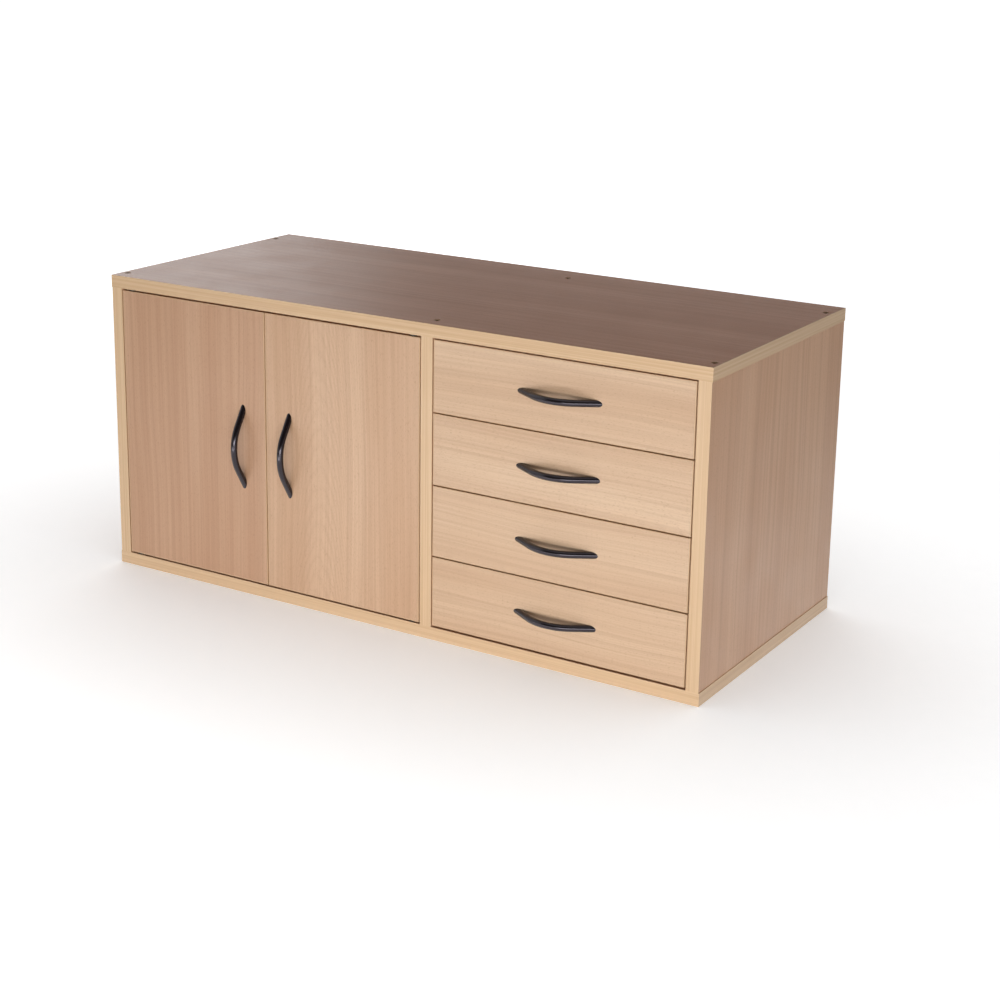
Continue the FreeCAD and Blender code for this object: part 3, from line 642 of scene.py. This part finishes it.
def turned(outline, steps=SCREW_STEPS):
    """A mesh turned about Z from points of radius and height, the first and last on the axis."""
    solid = bmesh.new()
    angles = [math.tau * step / steps for step in range(steps)]
    rings = []
    for radius, height in outline:
        corners = [(radius * math.cos(angle), radius * math.sin(angle), height) for angle in angles]
        rings.append([solid.verts.new(corner) for corner in (corners if radius else corners[:1])])
    for lower, upper in zip(rings, rings[1:]):
        for step in range(steps):
            following = (step + 1) % steps
            corners = (
                lower[step % len(lower)], lower[following % len(lower)],
                upper[following % len(upper)], upper[step % len(upper)],
            )
            solid.faces.new(list(dict.fromkeys(corners)))
    mesh = bpy.data.meshes.new("turned")
    solid.to_mesh(mesh)
    solid.free()
    return mesh


def bar(length, width, depth):
    """A block under and over z = 0, for cutting one arm of a cross."""
    solid = bmesh.new()
    bmesh.ops.create_cube(solid, size=1.0, matrix=Matrix.Diagonal((length, width, 2 * depth, 1.0)))
    mesh = bpy.data.meshes.new("bar")
    solid.to_mesh(mesh)
    solid.free()
    return mesh


def carved(mesh, cutters):
    """The mesh with each cutter taken away."""
    holder = bpy.data.objects.new("carved", mesh)
    spare = [holder]
    bpy.context.scene.collection.objects.link(holder)
    for cutter in cutters:
        tool = bpy.data.objects.new("cutter", cutter)
        bpy.context.scene.collection.objects.link(tool)
        spare.append(tool)
        cut = holder.modifiers.new("cut", "BOOLEAN")
        cut.operation = "DIFFERENCE"
        cut.solver = "EXACT"
        cut.object = tool
    graph = bpy.context.evaluated_depsgraph_get()
    result = bpy.data.meshes.new_from_object(holder.evaluated_get(graph))
    for item in spare:
        bpy.data.objects.remove(item)
    return result


def thread(shank, start, end):
    """Outline of a pointed thread from its tip up to the neck."""
    root = shank * THREAD_ROOT_SHARE
    flank = THREAD_PITCH * THREAD_FLANK_SHARE
    turns = int((end - start) / THREAD_PITCH) - 1
    outline = [(0.0, start), (root * TIP_RADIUS_SHARE, start + THREAD_PITCH * TIP_LENGTH_SHARE)]
    for turn in range(1, turns):
        height = start + turn * THREAD_PITCH
        outline += [(root, height - flank), (shank, height), (root, height + flank)]
    return outline + [(shank, end - THREAD_PITCH), (shank, end)]


def countersunk_screw(head, head_height, shank, length):
    """A flat-headed screw with a hexagon socket, its face at z = 0."""
    outline = thread(shank, -length, -head_height)
    outline += [(head, -HEAD_RIM), (head, -HEAD_RIM / 2), (head - HEAD_RIM / 2, 0.0), (0.0, 0.0)]
    floor = -HEX_DEPTH - HEAD_RIM
    socket = [(0.0, floor), (HEX_RADIUS, -HEX_DEPTH), (HEX_RADIUS, CUT_OVERRUN), (0.0, CUT_OVERRUN)]
    return carved(turned(outline), [turned(socket, HEX_SIDES)])


def pan_screw(head, head_height, shank, length):
    """A domed screw with a cross recess, the top of its head at z = 0."""
    outline = thread(shank, -length, -head_height)
    outline.append((head, -head_height))
    for step in range(DOME_STEPS + 1):
        angle = math.radians(90) * step / DOME_STEPS
        radius = head * (1 - DOME_INSET_SHARE * (1 - math.cos(angle)))
        outline.append((radius, -head_height * DOME_HEIGHT_SHARE * (1 - math.sin(angle))))
    outline.append((0.0, 0.0))
    reach = 2 * head * CROSS_REACH_SHARE
    depth = head_height * CROSS_DEPTH_SHARE
    return carved(turned(outline), [bar(reach, CROSS_WIDTH, depth), bar(CROSS_WIDTH, reach, depth)])


def body_of(node):
    return next(body for body, held in record["behaviour"]["bodies"].items() if node in held)


def fit_screws(node, template, material, heading):
    """Put a copy of the template in the place of each screw of a node, its head towards heading(middle)."""
    joined = bmesh.new()
    for low, high in islands(node):
        middle = (low + high) / 2
        direction = heading(middle)
        half = (high - low) / 2
        top = middle + Vector(a * b for a, b in zip(direction, half))
        before = len(joined.verts)
        joined.from_mesh(template)
        joined.verts.ensure_lookup_table()
        turn = direction.to_track_quat("Z", "X").to_matrix().to_4x4()
        bmesh.ops.transform(joined, matrix=Matrix.Translation(top) @ turn, verts=joined.verts[before:])
    bmesh.ops.recalc_face_normals(joined, faces=joined.faces)
    mesh = bpy.data.meshes.new(f"{node}_cut")
    joined.to_mesh(mesh)
    joined.free()
    mesh.materials.clear()
    mesh.materials.append(material)
    mesh.shade_smooth()
    mesh.set_sharp_from_angle(angle=SCREW_SHARP_ANGLE)
    piece = bpy.data.objects.new(f"{node}_cut", mesh)
    bpy.context.scene.collection.objects.link(piece)
    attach(piece, body_of(node))
    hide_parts(node)


def middle_of(corners):
    low, high = corners
    return (low + high) / 2


UP = Vector((0.0, 0.0, 1.0))
INWARD = Vector((0.0, 1.0, 0.0))
SIDEWAYS = Vector((1.0, 0.0, 0.0))
cabinet_middle = middle_of(cad_box)
bay_middle = middle_of(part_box("drawer_1_front"))


def carcass_heading(place):
    return UP if place.z > cabinet_middle.z else -UP


def runner_heading(place):
    return SIDEWAYS if place.x < bay_middle.x else -SIDEWAYS


def handle_heading(place):
    return INWARD


fit_screws("carcass_screws", countersunk_screw(*CARCASS_SCREW), yellow_zinc, carcass_heading)
fit_screws("runner_screws", pan_screw(*RUNNER_SCREW), zinc, runner_heading)
handle_screw = pan_screw(*HANDLE_SCREW)
for owner in [f"{side}_door" for side in SIDES] + [f"drawer_{number}" for number in DRAWERS]:
    fit_screws(f"{owner}_handle_screws", handle_screw, zinc, handle_heading)


# Stage: a white floor, a low soft light from the front and a dimmer sky

FLOOR_REACH = 80.0
FLOOR_TONES = (srgb(240, 240, 241), srgb(244, 244, 245))
FLOOR_ROUGHNESS = 0.9
PAPER_COUNT = 40.0
NEAR_GLOW = 0.64
FAR_GLOW = 0.74
GLOW_RISE = (1.0, 5.0)
SHADE_REACH = 0.5
SHADE_SAMPLES = 4

# Glow of the floor in a mirror, which fades with the distance
MIRROR_NEAR = 1.0
MIRROR_FAR = 0.0
MIRROR_FADE = (0.6, 1.7)

# Light of the sky, and what a mirror sees of it: a white horizon, a dark ceiling and two white cards
FRONT_SKY = 0.16
REAR_SKY = 0.56
SKY_TURN = (-0.7, 0.7)
HORIZON_EDGE = (0.04, 0.19)
CEILING = 0.06
SIDE_CARD_EDGE = (-0.62, -0.54)
TOP_CARD_EDGE = (0.66, 0.92)
TOP_CARD = 0.9


def lay_floor():
    reach = FLOOR_REACH
    corners = [(-reach, -reach, 0.0), (reach, -reach, 0.0), (reach, reach, 0.0), (-reach, reach, 0.0)]
    mesh = bpy.data.meshes.new("floor")
    mesh.from_pydata(corners, [], [(0, 1, 2, 3)])
    floor = bpy.data.objects.new("floor", mesh)
    bpy.context.scene.collection.objects.link(floor)

    graph = new_material("floor")
    paper = graph.noise(graph.object, detail=3.0, scale=PAPER_COUNT)
    graph.finish(graph.mix(graph.spread(paper, *NOISE_SPAN), *FLOOR_TONES), FLOOR_ROUGHNESS)
    shade = graph.add("ShaderNodeAmbientOcclusion", samples=SHADE_SAMPLES)
    shade.inputs["Distance"].default_value = SHADE_REACH
    far = graph.add("ShaderNodeVectorMath", operation="LENGTH")
    graph.feed(far.inputs[0], graph.object)
    level = graph.spread(far.outputs["Value"], *GLOW_RISE, NEAR_GLOW, FAR_GLOW)
    shaded = graph.math("MULTIPLY", level, shade.outputs["AO"])
    near = graph.spread(far.outputs["Value"], *MIRROR_FADE, MIRROR_NEAR, MIRROR_FAR)
    direct, mirrored = graph.rays()
    direct_glow = graph.math("MULTIPLY", direct, shaded)
    mirrored_glow = graph.math("MULTIPLY", mirrored, near)
    glow = graph.add("ShaderNodeEmission")
    glow.inputs["Color"].default_value = WHITE
    graph.feed(glow.inputs["Strength"], graph.math("ADD", direct_glow, mirrored_glow))
    both = graph.add("ShaderNodeAddShader")
    graph.feed(both.inputs[0], graph.tree.nodes["Principled BSDF"].outputs[0])
    graph.feed(both.inputs[1], glow.outputs[0])
    graph.feed(graph.tree.nodes["Material Output"].inputs["Surface"], both.outputs[0])
    mesh.materials.append(graph.owner)


def hang_sky():
    world = bpy.data.worlds.new("studio")
    bpy.context.scene.world = world
    graph = Graph(world)
    sideways, inward, upward = graph.split(graph.direction)
    light = graph.spread(inward, *SKY_TURN, FRONT_SKY, REAR_SKY)
    ceiling = graph.spread(upward, *HORIZON_EDGE, 1.0, CEILING)
    side_card = graph.spread(sideways, *SIDE_CARD_EDGE, 1.0, 0.0)
    top_card = graph.spread(upward, *TOP_CARD_EDGE, 0.0, TOP_CARD)
    cards = graph.math("MAXIMUM", side_card, top_card)
    direct, mirrored = graph.rays()
    seen = graph.math("MAXIMUM", direct, mirrored)
    backdrop = graph.math("MAXIMUM", graph.math("MAXIMUM", ceiling, cards), direct)
    background = graph.tree.nodes["Background"]
    background.inputs["Color"].default_value = WHITE
    graph.feed(background.inputs["Strength"], graph.between(seen, light, backdrop))


def soft_lamp(name, place, aim, size, watts, mirrored=True):
    lamp = bpy.data.lights.new(name, "AREA")
    lamp.shape = "RECTANGLE"
    lamp.size, lamp.size_y = size
    lamp.energy = watts
    holder = bpy.data.objects.new(name, lamp)
    bpy.context.scene.collection.objects.link(holder)
    holder.location = place
    holder.rotation_mode = "QUATERNION"
    holder.rotation_quaternion = (Vector(aim) - Vector(place)).to_track_quat("-Z", "Y")
    holder.visible_camera = False
    holder.visible_glossy = mirrored


def set_camera():
    level = math.cos(CAMERA_ELEVATION)
    back = Vector((
        math.sin(CAMERA_AZIMUTH) * level,
        -math.cos(CAMERA_AZIMUTH) * level,
        math.sin(CAMERA_ELEVATION),
    ))
    lens = bpy.data.cameras.new("camera")
    lens.sensor_width = SENSOR
    lens.lens = FOCAL_PIXELS / IMAGE_PIXELS * SENSOR
    lens.shift_y = CAMERA_SHIFT
    viewer = bpy.data.objects.new("camera", lens)
    bpy.context.scene.collection.objects.link(viewer)
    viewer.location = CAMERA_PLACE
    viewer.rotation_mode = "QUATERNION"
    roll = Quaternion((0.0, 0.0, 1.0), CAMERA_ROLL)
    viewer.rotation_quaternion = (-back).to_track_quat("-Z", "Y") @ roll
    bpy.context.scene.camera = viewer


bpy.context.scene.view_settings.view_transform = "Standard"
lay_floor()
hang_sky()
soft_lamp("front_light", (1.3, -2.4, 0.24), aim=(0.1, -0.2, 0.18), size=(2.2, 0.4), watts=31.0)
soft_lamp("low_light", (-0.1, -1.0, 0.03), aim=(-0.1, -0.2, 0.10), size=(1.8, 0.08), watts=3.0)
soft_lamp("rear_light", (-2.2, 2.6, 0.7), aim=(0.0, 0.0, 0.2), size=(2.4, 1.0), watts=22.0, mirrored=False)
set_camera()
